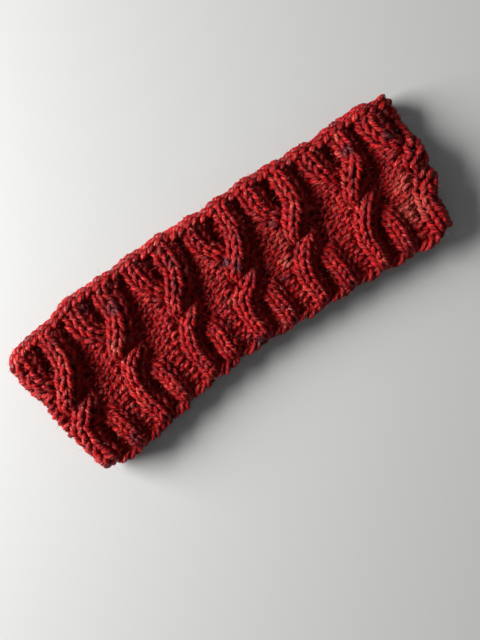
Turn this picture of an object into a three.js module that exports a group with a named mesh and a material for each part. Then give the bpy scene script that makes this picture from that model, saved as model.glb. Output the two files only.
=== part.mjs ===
// Cable knit headband, lying flat on a table as a folded tube. Millimetres, +Z up.
// +X runs along the band from its left fold to its right fold, +Y towards the bind-off edge.
import * as THREE from "three";

// The band as it lies
const FLAT_LENGTH = 254.5; // from fold to fold, outside
const REPEATS = 13; // cables round the whole loop
const CABLE_RIGHT_OF_MIDDLE = 3.9; // the middle cable's place on the upper layer

// The wall, measured from its middle surface
const GROUND_OUT = 1.9; // purl ground, outer side
const GROUND_IN = 2.1; // purl ground, inner side
const RIB_LIFT = 2.1; // a rib's crest above the purl ground
const RIB_HOLLOW = 0.35; // share of a rib's lift that the inner side follows
const LAYER_GAP = 5.0; // clear height between the two layers
const REST_HEIGHT = 3.9; // middle surface of the lower layer above the table
const FOLD_RADIUS = 5.9; // middle surface at both folds
const FOLD_RELAX = 34; // length over which a fold settles to the layers' distance

// The two edges
const USUAL_WIDTH = 83; // bind-off edge to cast-on edge, for sizes given across the band
const CHAIN_HEIGHT = 6; // bind-off chain, measured across the band
const CHAIN_LIFT = 1.7; // its lift above the purl ground
const HEM_HEIGHT = 4; // cast-on edge
const HEM_LIFT = 0.8;
const SCALLOP = 0.5; // the ribs push both edges out by this much

// The band's outline from above, from the left fold (0) to the right fold (1): which way its
// centreline points, and its width from the bind-off edge to the cast-on edge, mm
const OUTLINE = [
  { along: 0.0, degrees: 7.6, width: 84 },
  { along: 0.08, degrees: 8.8, width: 89 },
  { along: 0.2, degrees: 6.6, width: 89.5 },
  { along: 0.33, degrees: 1.4, width: 84.5 },
  { along: 0.45, degrees: -2.0, width: 82.5 },
  { along: 0.7, degrees: -3.4, width: 84 },
  { along: 0.93, degrees: -5.4, width: 86 },
  { along: 1.0, degrees: -6.6, width: 83 },
];

// The two strands of a cable, from the bind-off edge (down 0) to the cast-on edge (down 1).
// across: distance from the cable's axis, in widths of one repeat
// lift: height above the purl ground, mm; the strand with more lift passes in front
// half: half the strand's width, in widths of one repeat
const RIGHT_STRAND = [
  { down: 0.0, across: 0.26, lift: 2.1, half: 0.2 },
  { down: 0.24, across: 0.26, lift: 2.2, half: 0.2 },
  { down: 0.37, across: 0.11, lift: 3.7, half: 0.19 },
  { down: 0.5, across: -0.1, lift: 3.2, half: 0.17 },
  { down: 0.57, across: -0.1, lift: 1.2, half: 0.14 },
  { down: 0.67, across: 0.13, lift: 0.9, half: 0.16 },
  { down: 0.76, across: 0.24, lift: 2.0, half: 0.19 },
  { down: 1.0, across: 0.25, lift: 2.0, half: 0.2 },
];
const LEFT_STRAND = [
  { down: 0.0, across: -0.26, lift: 2.1, half: 0.2 },
  { down: 0.2, across: -0.25, lift: 2.1, half: 0.2 },
  { down: 0.35, across: -0.1, lift: 0.9, half: 0.16 },
  { down: 0.5, across: 0.12, lift: 1.8, half: 0.15 },
  { down: 0.57, across: 0.12, lift: 3.3, half: 0.17 },
  { down: 0.66, across: -0.05, lift: 3.7, half: 0.19 },
  { down: 0.77, across: -0.22, lift: 2.7, half: 0.19 },
  { down: 0.86, across: -0.25, lift: 2.1, half: 0.2 },
  { down: 1.0, across: -0.25, lift: 2.0, half: 0.2 },
];

// How finely the surface is divided
const COLUMNS_PER_REPEAT = 16;
const OUTER_ROWS = 18;
const INNER_ROWS = 5;
const EDGE_INSET = 1.6; // the outermost rows start this far inside the edges
const PATH_STEPS = 4000;

const mix = (a, b, t) => a + (b - a) * t;
const ease = (t) => t * t * (3 - 2 * t);
const roundOver = (t) => (t < 1 ? Math.sin(Math.PI * t) : 0);

// Reads one column of a table whose rows are ordered by the key, easing from row to row.
function lookUp(table, key, value, at) {
  if (at <= table[0][key]) {
    return table[0][value];
  }
  for (let i = 1; i < table.length; i += 1) {
    const before = table[i - 1];
    const after = table[i];
    if (at <= after[key]) {
      const t = (at - before[key]) / (after[key] - before[key]);
      return mix(before[value], after[value], ease(t));
    }
  }
  return table[table.length - 1][value];
}

// The centreline seen from above: points and headings at even steps of its length.
function layCentreline(length) {
  const steps = [];
  let x = 0;
  let y = 0;
  const stepLength = length / PATH_STEPS;
  for (let i = 0; i <= PATH_STEPS; i += 1) {
    const degrees = lookUp(OUTLINE, "along", "degrees", i / PATH_STEPS);
    const angle = THREE.MathUtils.degToRad(degrees);
    steps.push({ x, y, angle });
    x += Math.cos(angle) * stepLength;
    y += Math.sin(angle) * stepLength;
  }
  return steps;
}

// Where a point lies that is `along` from the left fold and `aside` towards the bind-off edge.
function planPoint(centreline, length, along, aside) {
  const place = (along / length) * PATH_STEPS;
  const index = Math.min(Math.max(Math.floor(place), 0), PATH_STEPS - 1);
  const t = place - index;
  const a = centreline[index];
  const b = centreline[index + 1];
  const angle = mix(a.angle, b.angle, t);
  return new THREE.Vector2(
    mix(a.x, b.x, t) - Math.sin(angle) * aside,
    mix(a.y, b.y, t) + Math.cos(angle) * aside,
  );
}

// Height of the folded loop's two layers at a distance from the nearer fold.
function layerHeights(fromFold) {
  const flatHalf = (LAYER_GAP + 2 * GROUND_IN) / 2;
  if (fromFold < FOLD_RADIUS) {
    const reach = Math.sqrt(Math.max(0, FOLD_RADIUS ** 2 - (FOLD_RADIUS - fromFold) ** 2));
    const middle = REST_HEIGHT + FOLD_RADIUS;
    return { lower: middle - reach, upper: middle + reach };
  }
  const t = Math.min(1, (fromFold - FOLD_RADIUS) / FOLD_RELAX);
  const half = mix(FOLD_RADIUS, flatHalf, ease(t));
  return { lower: REST_HEIGHT, upper: REST_HEIGHT + 2 * half };
}

// The loop's middle surface as a closed line in the plane of length and height, walked from
// the middle of the upper layer to the right, round the fold and back along the lower layer.
function walkLoop(length) {
  const line = [];
  const half = length / 2;
  const sample = (angle) => {
    // Even steps of angle crowd the points towards the folds, where the line turns.
    const side = Math.sin(angle);
    const along = half + half * side;
    const heights = layerHeights(half - half * Math.abs(side));
    const upper = Math.cos(angle) >= 0;
    line.push({ along, height: upper ? heights.upper : heights.lower });
  };
  for (let i = 0; i < PATH_STEPS; i += 1) {
    sample((2 * Math.PI * i) / PATH_STEPS);
  }
  let walked = 0;
  const marks = line.map((point, i) => {
    const next = line[(i + 1) % line.length];
    const mark = { ...point, walked };
    walked += Math.hypot(next.along - point.along, next.height - point.height);
    return mark;
  });
  marks.push({ ...line[0], walked });
  return { marks, around: walked };
}

// The point of the loop after a walk of the given length, with the direction out of the loop.
function loopPoint(loop, walk) {
  const { marks, around } = loop;
  const at = ((walk % around) + around) % around;
  let low = 0;
  let high = marks.length - 1;
  while (high - low > 1) {
    const half = (low + high) >> 1;
    if (marks[half].walked <= at) {
      low = half;
    } else {
      high = half;
    }
  }
  const a = marks[low];
  const b = marks[high];
  const span = b.walked - a.walked;
  const t = span > 0 ? (at - a.walked) / span : 0;
  const alongStep = (b.along - a.along) / span;
  const heightStep = (b.height - a.height) / span;
  return {
    along: mix(a.along, b.along, t),
    height: mix(a.height, b.height, t),
    outAlong: -heightStep,
    outHeight: alongStep,
  };
}

// Lift of one strand above the purl ground at a place in its repeat.
function strandLift(strand, across, down) {
  const centre = lookUp(strand, "down", "across", down);
  const half = lookUp(strand, "down", "half", down);
  let offset = across - centre;
  offset -= Math.round(offset);
  const t = offset / half;
  return Math.abs(t) < 1 ? lookUp(strand, "down", "lift", down) * Math.sqrt(1 - t * t) : 0;
}

function cableLift(across, down) {
  return Math.max(
    strandLift(RIGHT_STRAND, across, down),
    strandLift(LEFT_STRAND, across, down),
  );
}

// Round lift of the bind-off chain and of the cast-on edge.
function edgeLift(down) {
  const chain = CHAIN_LIFT * roundOver((down * USUAL_WIDTH) / CHAIN_HEIGHT);
  const hem = HEM_LIFT * roundOver(((1 - down) * USUAL_WIDTH) / HEM_HEIGHT);
  return Math.max(chain, hem);
}

// The wall's section across the band, once round: down the outside, under the cast-on edge,
// up the inside and over the bind-off edge.
function wallSection() {
  const inset = EDGE_INSET / USUAL_WIDTH;
  const section = [];
  for (let i = 0; i <= OUTER_ROWS; i += 1) {
    section.push({ down: mix(inset, 1 - inset, i / OUTER_ROWS), side: "outer" });
  }
  section.push({ down: 1, side: "middle" });
  for (let i = 0; i <= INNER_ROWS; i += 1) {
    section.push({ down: mix(1 - inset, inset, i / INNER_ROWS), side: "inner" });
  }
  section.push({ down: 0, side: "middle" });
  return section;
}

// Distance from the middle surface, outwards.
function wallOffset(side, across, down) {
  if (side === "middle") {
    return 0;
  }
  const lift = Math.max(cableLift(across, down), edgeLift(down));
  if (side === "outer") {
    return GROUND_OUT + lift;
  }
  return -GROUND_IN + RIB_HOLLOW * Math.min(lift, RIB_LIFT);
}

function knitBand() {
  const length = FLAT_LENGTH - 2 * (GROUND_OUT + RIB_LIFT);
  const centreline = layCentreline(length);
  const loop = walkLoop(length);
  const repeat = loop.around / REPEATS;
  const columns = REPEATS * COLUMNS_PER_REPEAT;
  const section = wallSection();

  const positions = [];
  for (let column = 0; column < columns; column += 1) {
    const walk = (column / COLUMNS_PER_REPEAT) * repeat;
    const across = (walk - CABLE_RIGHT_OF_MIDDLE) / repeat;
    const point = loopPoint(loop, walk);
    for (const { down, side } of section) {
      const offset = wallOffset(side, across, down);
      const along = point.along + point.outAlong * offset;
      const height = point.height + point.outHeight * offset;
      const bulge = SCALLOP * (cableLift(across, down) / RIB_LIFT) * (1 - 2 * down);
      const width = lookUp(OUTLINE, "along", "width", point.along / length);
      const aside = width * (0.5 - down) + (side === "middle" ? bulge : 0);
      const plan = planPoint(centreline, length, along, aside);
      // What meets the table is pressed flat on it.
      positions.push(plan.x, plan.y, Math.max(0, height));
    }
  }

  const indices = [];
  const rows = section.length;
  for (let column = 0; column < columns; column += 1) {
    for (let row = 0; row < rows; row += 1) {
      const nextColumn = (column + 1) % columns;
      const nextRow = (row + 1) % rows;
      const a = column * rows + row;
      const b = nextColumn * rows + row;
      const c = nextColumn * rows + nextRow;
      const d = column * rows + nextRow;
      indices.push(a, d, b, b, d, c);
    }
  }

  const geometry = new THREE.BufferGeometry();
  geometry.setAttribute("position", new THREE.Float32BufferAttribute(positions, 3));
  geometry.setIndex(indices);
  geometry.computeVertexNormals();

  // The origin is the middle of the underside.
  geometry.computeBoundingBox();
  const centre = geometry.boundingBox.getCenter(new THREE.Vector3());
  geometry.translate(-centre.x, -centre.y, 0);
  return geometry;
}

const wool = new THREE.MeshStandardMaterial({ color: 0x8e2320, roughness: 0.95, metalness: 0 });

const band = new THREE.Mesh(knitBand(), wool);
band.name = "knit_band";

const headband = new THREE.Group();
headband.add(band);

export default headband;
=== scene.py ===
# %% [markdown]
# # A cable knit headband, stitch by stitch
#
# The headband is one piece of knitting: a loop of thick plied wool, 104 stitches round and 17
# rounds high, with 13 cables. It lies flat as a folded tube. A smooth surface with a bumpy
# finish would miss what makes knitting look like knitting, which is that every stitch is a loop
# of yarn pulled through the one below it. So the yarn itself is modelled here: one closed tube
# for every round, laid along the same folded loop that the measured model has.

# %% The measured model
import math

import bpy
import numpy as np
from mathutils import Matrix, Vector


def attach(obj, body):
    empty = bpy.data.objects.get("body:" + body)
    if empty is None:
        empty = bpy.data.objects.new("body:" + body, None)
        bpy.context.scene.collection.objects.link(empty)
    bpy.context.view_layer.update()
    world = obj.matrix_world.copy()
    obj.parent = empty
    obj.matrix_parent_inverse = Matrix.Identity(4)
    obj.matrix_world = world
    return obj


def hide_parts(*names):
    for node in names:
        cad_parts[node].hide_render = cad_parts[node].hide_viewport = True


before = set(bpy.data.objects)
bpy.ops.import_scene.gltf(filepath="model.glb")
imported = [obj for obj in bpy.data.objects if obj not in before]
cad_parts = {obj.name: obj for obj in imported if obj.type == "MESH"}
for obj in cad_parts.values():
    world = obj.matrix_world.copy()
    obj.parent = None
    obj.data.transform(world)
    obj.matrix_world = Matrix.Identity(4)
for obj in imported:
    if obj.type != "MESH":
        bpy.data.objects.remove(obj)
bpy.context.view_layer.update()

MM = 0.001

# %% [markdown]
# ## Camera
#
# The band was seen from straight above, turned so that its length runs from the lower left to
# the upper right. The camera therefore looks down the Z axis and is turned about it. The picture
# is 480 by 640, so Blender lays the sensor's 36 mm along its height, and the camera's height
# follows from the lens and from how many millimetres one pixel shows.

# %% Camera
PICTURE_HEIGHT = 640  # pixels
MM_PER_PIXEL = 0.5556  # at the height of the upper layer
UPPER_LAYER = 16.0  # mm above the table
TURN = -35.23  # degrees
MIDDLE_X, MIDDLE_Y = -8.9, -19.4  # mm, what lies at the middle of the picture
LENS = 42.0  # mm

camera_data = bpy.data.cameras.new("camera")
camera_data.lens = LENS
camera = bpy.data.objects.new("camera", camera_data)
bpy.context.collection.objects.link(camera)
distance = LENS / camera_data.sensor_width * PICTURE_HEIGHT * MM_PER_PIXEL
camera.location = Vector((MIDDLE_X, MIDDLE_Y, UPPER_LAYER + distance)) * MM
camera.rotation_euler = (0, 0, math.radians(TURN))
bpy.context.scene.camera = camera
print("camera height, mm:", round(distance + UPPER_LAYER))

# %% [markdown]
# ## The lying band
#
# A point of the fabric is named by three numbers: its walk round the loop, how far down the
# width it is (0 at the bind-off edge, 1 at the cast-on edge) and how far it stands out of the
# wall's middle surface. These sizes and tables are the measured model's own, so that each stitch
# lands on the solid it stands for. Only the small changes at the folds are new.

# %% Sizes of the lying band, mm
FLAT_LENGTH = 254.5  # from fold to fold, outside
REPEATS = 13  # cables round the band
CABLE_RIGHT_OF_MIDDLE = 3.9  # how far the middle cable is off the middle of the upper layer
GROUND_OUT = 1.9  # from the wall's middle surface to the outside of the ground
GROUND_IN = 2.1  # and to its inside
RIB_LIFT = 2.1  # how much further out a rib stands
LAYER_GAP = 5.0  # the hollow between the layers
REST_HEIGHT = 3.9  # the lower layer's middle surface above the table
FOLD_RADIUS = 5.9  # of the middle surface
FOLD_RELAX = 34  # how far past a fold the layers have come together
USUAL_WIDTH = 83
PATH_STEPS = 4000  # how finely the loop and the centreline are measured

# share along the band, degrees of its centreline, width in mm
OUTLINE = np.array([
    (0.0, 7.6, 84),
    (0.08, 8.8, 89),
    (0.2, 6.6, 89.5),
    (0.33, 1.4, 84.5),
    (0.45, -2.0, 82.5),
    (0.7, -3.4, 84),
    (0.93, -5.4, 86),
    (1.0, -6.6, 83),
])
print("flat, mm:", FLAT_LENGTH, "by about", USUAL_WIDTH)


# %% Easing
def ease(t):
    """A rise from 0 to 1 that starts and ends level."""
    return t * t * (3 - 2 * t)


def eased(table, column, at):
    """One column of a table ordered by its first column, eased from row to row."""
    keys = table[:, 0]
    after = np.clip(np.searchsorted(keys, at), 1, len(keys) - 1)
    t = ease(np.clip((at - keys[after - 1]) / (keys[after] - keys[after - 1]), 0, 1))
    return table[after - 1, column] * (1 - t) + table[after, column] * t


print("width in the middle of the band, mm:", round(float(eased(OUTLINE, 2, 0.5)), 1))

# %% The centreline from above and the loop from the side
band_length = FLAT_LENGTH - 2 * (GROUND_OUT + RIB_LIFT)
plan_share = np.linspace(0, 1, PATH_STEPS + 1)
plan_angle = np.radians(eased(OUTLINE, 1, plan_share))
plan_step = band_length / PATH_STEPS
plan_x = np.concatenate([[0], np.cumsum(np.cos(plan_angle[:-1]))]) * plan_step
plan_y = np.concatenate([[0], np.cumsum(np.sin(plan_angle[:-1]))]) * plan_step


def layer_heights(from_fold):
    """Heights of the lower and the upper layer at a distance from the nearer fold."""
    flat_half = (LAYER_GAP + 2 * GROUND_IN) / 2
    near = np.minimum(from_fold, FOLD_RADIUS)
    reach = np.sqrt(np.maximum(0, FOLD_RADIUS**2 - (FOLD_RADIUS - near) ** 2))
    relaxed = ease(np.clip((from_fold - FOLD_RADIUS) / FOLD_RELAX, 0, 1))
    half = FOLD_RADIUS * (1 - relaxed) + flat_half * relaxed
    in_fold = from_fold < FOLD_RADIUS
    middle = REST_HEIGHT + FOLD_RADIUS
    lower = np.where(in_fold, middle - reach, REST_HEIGHT)
    upper = np.where(in_fold, middle + reach, REST_HEIGHT + 2 * half)
    return lower, upper


loop_angle = np.linspace(0, 2 * np.pi, PATH_STEPS + 1)
loop_side = np.sin(loop_angle)
loop_along = band_length / 2 * (1 + loop_side)
lower, upper = layer_heights(band_length / 2 * (1 - np.abs(loop_side)))
loop_height = np.where(np.cos(loop_angle) >= 0, upper, lower)
steps = np.hypot(np.diff(loop_along), np.diff(loop_height))
loop_walk = np.concatenate([[0], np.cumsum(steps)])
AROUND = loop_walk[-1]
REPEAT = AROUND / REPEATS
print("round the loop, mm:", round(AROUND, 1), " one repeat:", round(REPEAT, 2))

# %% [markdown]
# ## What the folds do
#
# A knitted band isn't a box. Round a fold the edges draw in or stand out a little, and the left
# fold is fuller than the solid. These changes fade out within three centimetres, so the rest of
# the band stays where it was measured. They could be sculpted into the finished mesh, but moved
# here they carry the yarn's path with them, and the yarn keeps its round section.

# %% From the fabric to the table
CORNER_REACH = 12  # mm from a fold, where an edge starts to leave its line
LOW_CORNERS_IN = 3.5  # mm, how far the cast-on edge draws in at a fold
TOP_RIGHT_OUT = 2.25  # mm, how far the bind-off edge stands out at the right fold
LEFT_FULLER = 2.7  # mm, how far the left fold swells out
LEFT_REACH = 26  # mm from the left fold, where the swelling starts
LEFT_FULLEST, LEFT_SPAN = 0.41, 0.36  # its middle and its half height, in shares down

middle_walk = (loop_walk[1:] + loop_walk[:-1]) / 2
out_along = -np.diff(loop_height) / steps
out_height = np.diff(loop_along) / steps


def on_band(walk, down, out, as_measured=False):
    """Points in the band's plan, mm, for a walk round the loop, a share down and a reach out."""
    at = np.mod(walk, AROUND)
    reach_along = np.interp(at, middle_walk, out_along, period=AROUND)
    reach_height = np.interp(at, middle_walk, out_height, period=AROUND)
    middle_along = np.interp(at, loop_walk, loop_along)
    along = middle_along + reach_along * out
    height = np.interp(at, loop_walk, loop_height) + reach_height * out
    share = along / band_length
    angle = np.interp(share, plan_share, plan_angle)
    beyond = along - np.clip(along, 0, band_length)
    width = eased(OUTLINE, 2, middle_along / band_length)
    from_fold = np.minimum(middle_along, band_length - middle_along)
    if not as_measured:
        near_fold = ease(np.clip(1 - from_fold / CORNER_REACH, 0, 1))
        wider_top = np.where(middle_along > band_length / 2, TOP_RIGHT_OUT, 0)
        # an edge moves by half of what the width gains
        wider = 2 * np.where(down < 0.5, wider_top, -LOW_CORNERS_IN)
        width = width + wider * near_fold * (1 - 2 * down) ** 4
        near_left = ease(np.clip(1 - middle_along / LEFT_REACH, 0, 1))
        swelling = np.clip(1 - ((down - LEFT_FULLEST) / LEFT_SPAN) ** 2, 0, 1)
        beyond = beyond - LEFT_FULLER * near_left * swelling
    aside = width * (0.5 - down)
    x = np.interp(share, plan_share, plan_x) + np.cos(angle) * beyond - np.sin(angle) * aside
    y = np.interp(share, plan_share, plan_y) + np.sin(angle) * beyond + np.cos(angle) * aside
    return np.stack([x, y, height], axis=-1)


half_down = on_band(np.linspace(0, AROUND, 400), 0.5, 0)
print("the wall's middle, fold to fold, mm:", round(np.ptp(half_down[:, 0]), 1))

# %% The middle of the plan, from the solid's rim and its outermost ribs
RIB_EDGE = 0.02  # in shares down, just inside both edges
edge_walk, edge_down = np.meshgrid(np.linspace(0, AROUND, 800), (0.0, 0.5, 1.0))
rim_out = np.where(edge_down == 0.5, GROUND_OUT + RIB_LIFT, 0)
rim = on_band(edge_walk, edge_down, rim_out, as_measured=True)
rib_down = np.clip(edge_down, RIB_EDGE, 1 - RIB_EDGE)
ribs = on_band(edge_walk, rib_down, GROUND_OUT + RIB_LIFT, as_measured=True)
both = np.concatenate([rim.reshape(-1, 3), ribs.reshape(-1, 3)])
PLAN_MIDDLE = (both.min(axis=0) + both.max(axis=0)) / 2 * (1, 1, 0)
print("plan, mm:", np.round(both.max(axis=0) - both.min(axis=0), 1))

# %% [markdown]
# ## Wales
#
# A wale is a column of stitches. Each cable repeat has eight: two knit wales in each of the two
# strands, and four purl wales, which make the ground. At both edges the strands stand apart as
# ribs, with two purl wales sunk between them. Towards the middle the strands come together and
# cross twice, each time the one on the right over the other, and all four purl wales spread out
# between the cables. The tables follow each of them down the band. A spline through a handful of
# places is enough, because a wale can't kink. `across` is measured from the cable's axis, in
# widths of one repeat.

# %% The two strands
# down, across, lift of the middle in mm, width of one stitch
LEFT_STRAND = np.array([
    (0.0, -0.19, 2.8, 0.205),
    (0.19, -0.185, 3.0, 0.205),
    (0.257, -0.15, 2.8, 0.18),
    (0.324, -0.055, 1.4, 0.16),
    (0.39, 0.08, -1.8, 0.14),
    (0.44, 0.2, -3.2, 0.11),
    (0.485, 0.255, -2.2, 0.105),
    (0.515, 0.225, 1.2, 0.12),
    (0.55, 0.16, 4.0, 0.145),
    (0.595, 0.075, 5.4, 0.165),
    (0.65, -0.025, 5.6, 0.175),
    (0.7, -0.085, 5.0, 0.165),
    (0.77, -0.125, 4.2, 0.155),
    (0.9, -0.11, 3.4, 0.15),
    (0.96, -0.105, 2.2, 0.14),
    (1.0, -0.105, 0.6, 0.12),
])
RIGHT_STRAND = np.array([
    (0.0, 0.315, 3.2, 0.158),
    (0.19, 0.32, 4.0, 0.16),
    (0.236, 0.316, 4.6, 0.163),
    (0.29, 0.285, 5.4, 0.165),
    (0.358, 0.205, 6.1, 0.175),
    (0.42, 0.11, 6.2, 0.175),
    (0.458, 0.055, 6.0, 0.165),
    (0.49, 0.01, 5.6, 0.155),
    (0.517, -0.02, 4.4, 0.14),
    (0.542, -0.02, 0.6, 0.12),
    (0.57, 0.02, -2.8, 0.105),
    (0.61, 0.1, -3.2, 0.11),
    (0.65, 0.21, -1.8, 0.135),
    (0.7, 0.29, 1.2, 0.15),
    (0.77, 0.32, 2.7, 0.155),
    (0.9, 0.345, 3.0, 0.155),
    (0.96, 0.35, 2.0, 0.145),
    (1.0, 0.35, 0.6, 0.125),
])
print("a strand's highest, mm:", LEFT_STRAND[:, 2].max(), "and", RIGHT_STRAND[:, 2].max())

# %% The ground between the strands
# down, across, lift: a purl stitch is as wide as the room between its neighbours
LEFT_INNER_PURL = np.array([
    (0.0, 0.045, -1.4),
    (0.05, 0.045, -2.8),
    (0.1, 0.045, -4.2),
    (0.17, 0.045, -4.4),
    (0.25, -0.1, -3.4),
    (0.33, -0.255, 1.0),
    (0.41, -0.17, 2.6),
    (0.5, -0.175, 3.6),
    (0.56, -0.19, 3.2),
    (0.62, -0.25, 2.2),
    (0.69, -0.29, 0.8),
    (0.76, -0.13, -3.2),
    (0.84, 0.085, -4.0),
    (0.92, 0.095, -3.4),
    (1.0, 0.095, -1.2),
])
RIGHT_INNER_PURL = np.array([
    (0.0, 0.09, -1.4),
    (0.05, 0.09, -2.8),
    (0.1, 0.09, -4.2),
    (0.17, 0.09, -4.4),
    (0.25, 0.2, -4.2),
    (0.33, 0.45, -4.0),
    (0.41, 0.4, -4.0),
    (0.5, 0.4, -3.7),
    (0.56, 0.375, -3.2),
    (0.62, 0.345, -2.5),
    (0.69, 0.47, -1.2),
    (0.76, 0.24, -3.2),
    (0.84, 0.145, -4.0),
    (0.92, 0.155, -3.4),
    (1.0, 0.16, -1.2),
])
print("deepest between the ribs, mm:", LEFT_INNER_PURL[:, 2].min())

# %% The ground between two cables
RIGHT_OUTER_PURL = np.array([
    (0.0, 0.525, -1.4),
    (0.05, 0.525, -2.8),
    (0.1, 0.525, -4.2),
    (0.17, 0.525, -4.4),
    (0.25, 0.53, -4.4),
    (0.33, 0.55, -3.8),
    (0.41, 0.55, -3.2),
    (0.5, 0.55, -2.6),
    (0.56, 0.53, -2.2),
    (0.62, 0.49, -1.4),
    (0.69, 0.55, -0.8),
    (0.76, 0.555, -0.8),
    (0.84, 0.56, -1.2),
    (0.92, 0.565, -1.5),
    (1.0, 0.565, -1.0),
])
LEFT_OUTER_PURL = np.array([
    (0.0, 0.59, -1.4),
    (0.05, 0.59, -2.8),
    (0.1, 0.59, -4.0),
    (0.17, 0.59, -4.2),
    (0.25, 0.61, -3.4),
    (0.33, 0.645, -2.0),
    (0.41, 0.695, -0.8),
    (0.5, 0.69, 0.2),
    (0.56, 0.67, 0.4),
    (0.62, 0.625, 0.4),
    (0.69, 0.635, 0.4),
    (0.76, 0.635, 0.1),
    (0.84, 0.645, -0.4),
    (0.92, 0.655, -0.9),
    (1.0, 0.655, -0.8),
])
print("deepest between the cables, mm:", RIGHT_OUTER_PURL[:, 2].min())


# %% Reading a table
def smooth(table, column, at):
    """One column of a table, read along a curve without kinks through its rows."""
    keys, values = table[:, 0], table[:, column]
    slopes = np.gradient(values, keys)
    at = np.clip(at, keys[0], keys[-1])
    after = np.clip(np.searchsorted(keys, at), 1, len(keys) - 1)
    before = after - 1
    gap = keys[after] - keys[before]
    t = (at - keys[before]) / gap
    rise = values[after] - values[before]
    return (
        values[before]
        + rise * t * t * (3 - 2 * t)
        + slopes[before] * gap * t * (1 - t) ** 2
        - slopes[after] * gap * t * t * (1 - t)
    )


print("the left strand half way down, across:", round(float(smooth(LEFT_STRAND, 1, 0.5)), 3))

# %% The eight wales of a repeat
KNIT, PURL = 1, -1
# table, place within its strand, knit or purl
WALES = {
    "left_a": (LEFT_STRAND, -0.5, KNIT),
    "left_b": (LEFT_STRAND, 0.5, KNIT),
    "right_a": (RIGHT_STRAND, -0.5, KNIT),
    "right_b": (RIGHT_STRAND, 0.5, KNIT),
    "inner_a": (LEFT_INNER_PURL, 0.0, PURL),
    "inner_b": (RIGHT_INNER_PURL, 0.0, PURL),
    "outer_a": (RIGHT_OUTER_PURL, 0.0, PURL),
    "outer_b": (LEFT_OUTER_PURL, 0.0, PURL),
}
GROUPS = (
    ("left_a", "left_b"), ("right_a", "right_b"),
    ("inner_a",), ("inner_b",), ("outer_a",), ("outer_b",),
)

ROWS = 17
FIRST_ROW_DOWN = 0.965  # in shares, where the first row starts
LAST_ROW_DOWN = 0.07  # and where the last one ends
TALLER_UPWARDS = 0.10  # by this share the rows at the bind-off edge are taller than the mean
print("stitches:", ROWS * REPEATS * len(WALES))


def down_of(row):
    """Rows are counted up from the cast-on edge, as they are knitted."""
    share = row / ROWS
    share = share * (1 - TALLER_UPWARDS) + TALLER_UPWARDS * share * share
    return FIRST_ROW_DOWN + (LAST_ROW_DOWN - FIRST_ROW_DOWN) * share


def order_at(down):
    """The wales from left to right at a height, each strand's two kept together."""
    in_order = sorted(GROUPS, key=lambda group: float(smooth(WALES[group[0]][0], 1, down)))
    return [wale for group in in_order for wale in group]


for at in (0.1, 0.5, 0.9):
    print("order", at, "down:", " ".join(order_at(at)))

# %% [markdown]
# ## One stitch
#
# Seen from the knit side a stitch is a V: the yarn comes out of the loop below, runs up and
# outwards in two legs, and its head is hidden behind the next stitch. Seen from the purl side
# only the head and the feet show, as two small arcs. One formula draws both, with the sign of
# its height turned over. The legs are a little thicker where they are free and thinner where
# the loops pull each other tight. One modelled stitch could be copied along the rows, but then
# the yarn would break at every cable, where the stitches lean, stretch and dive.

# %% Sizes of a stitch
YARN_RADIUS = 1.48  # mm
LOOP_REACH = 0.80  # half a loop's height, in rows
LEG_SPREAD = 0.24  # how far a knit stitch's legs lean, in stitch widths
PURL_SPREAD = 0.21  # the same for a purl stitch
PURL_FLATNESS = 0.45  # how much flatter than a knit stitch's head a purl bump is
LOOP_DEPTH = 1.15  # mm, how far the yarn swings to the front and back
PLUMP = 0.16  # how much thicker a free leg is, and how much thinner tight feet and heads are
PURL_THICK = 0.88  # of the yarn's radius
PURL_FOOT = 1.25  # how much deeper than its head a purl stitch's feet lie, in swings
TIGHT_WALE = 3.4  # mm, narrower stitches press their yarn thinner
THINNEST = 0.82  # of the yarn's radius
FLANK_LEFT, FLANK_RIGHT = 0.2, -3.4  # mm, how high a strand's sides stand
FLANK_POWER = 2.0  # how late a strand's top turns down to its sides
FLANK_SHARE = 0.85  # how much of the way down to them it goes
SAMPLES = 18  # points along the yarn in one stitch

# one stitch is one full turn: feet at the start and the end, the head half way
turn = 2 * np.pi * (np.arange(SAMPLES) + 0.5) / SAMPLES
print("yarn, mm thick:", 2 * YARN_RADIUS)

# %% [markdown]
# ## What the hand leaves uneven
#
# Hand knitting is never as regular as a formula. Slow waves move whole areas of the fabric by
# half a millimetre, in places by over one, and small chances move, lean and thicken single
# stitches. The chance values of a stitch run on into its neighbour's, so the yarn keeps a smooth
# course. The bind-off edge is also pulled towards the middle of the upper layer at both ends of
# the band. Every chance has a fixed seed, so the band comes out the same each time.

# %% Slow waves over the fabric
UNEVEN_MM = 0.55  # the usual shift


def waves(seed, count, shortest, longest):
    """Slow, seeded unevenness over the fabric: a function of walk in mm and share down."""
    random = np.random.default_rng(seed)
    around = random.integers(round(AROUND / longest), round(AROUND / shortest), count)
    downward = random.normal(0, 2 * np.pi * USUAL_WIDTH / (longest + shortest), count)
    phase = random.uniform(0, 2 * np.pi, count)

    def at(walk, down):
        angles = 2 * np.pi * np.multiply.outer(walk, around) / AROUND
        angles = angles + np.multiply.outer(down, downward) + phase
        return np.sin(angles).sum(axis=-1) / math.sqrt(count / 2)

    return at


# seed, number of waves, the shortest and the longest in mm
UNEVEN_WALK = waves(11, 9, 22, 90)
UNEVEN_DOWN = waves(12, 9, 22, 90)
UNEVEN_OUT = waves(13, 9, 18, 70)
UNEVEN_OUT_SHARE = 0.5  # the fabric heaves less than it shifts
somewhere = np.linspace(0, AROUND, 200)
print("largest shift along, mm:", round(UNEVEN_MM * UNEVEN_WALK(somewhere, 0 * somewhere).max(), 2))

# %% Chances of single stitches
ROUND_SEED = 7
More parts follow.
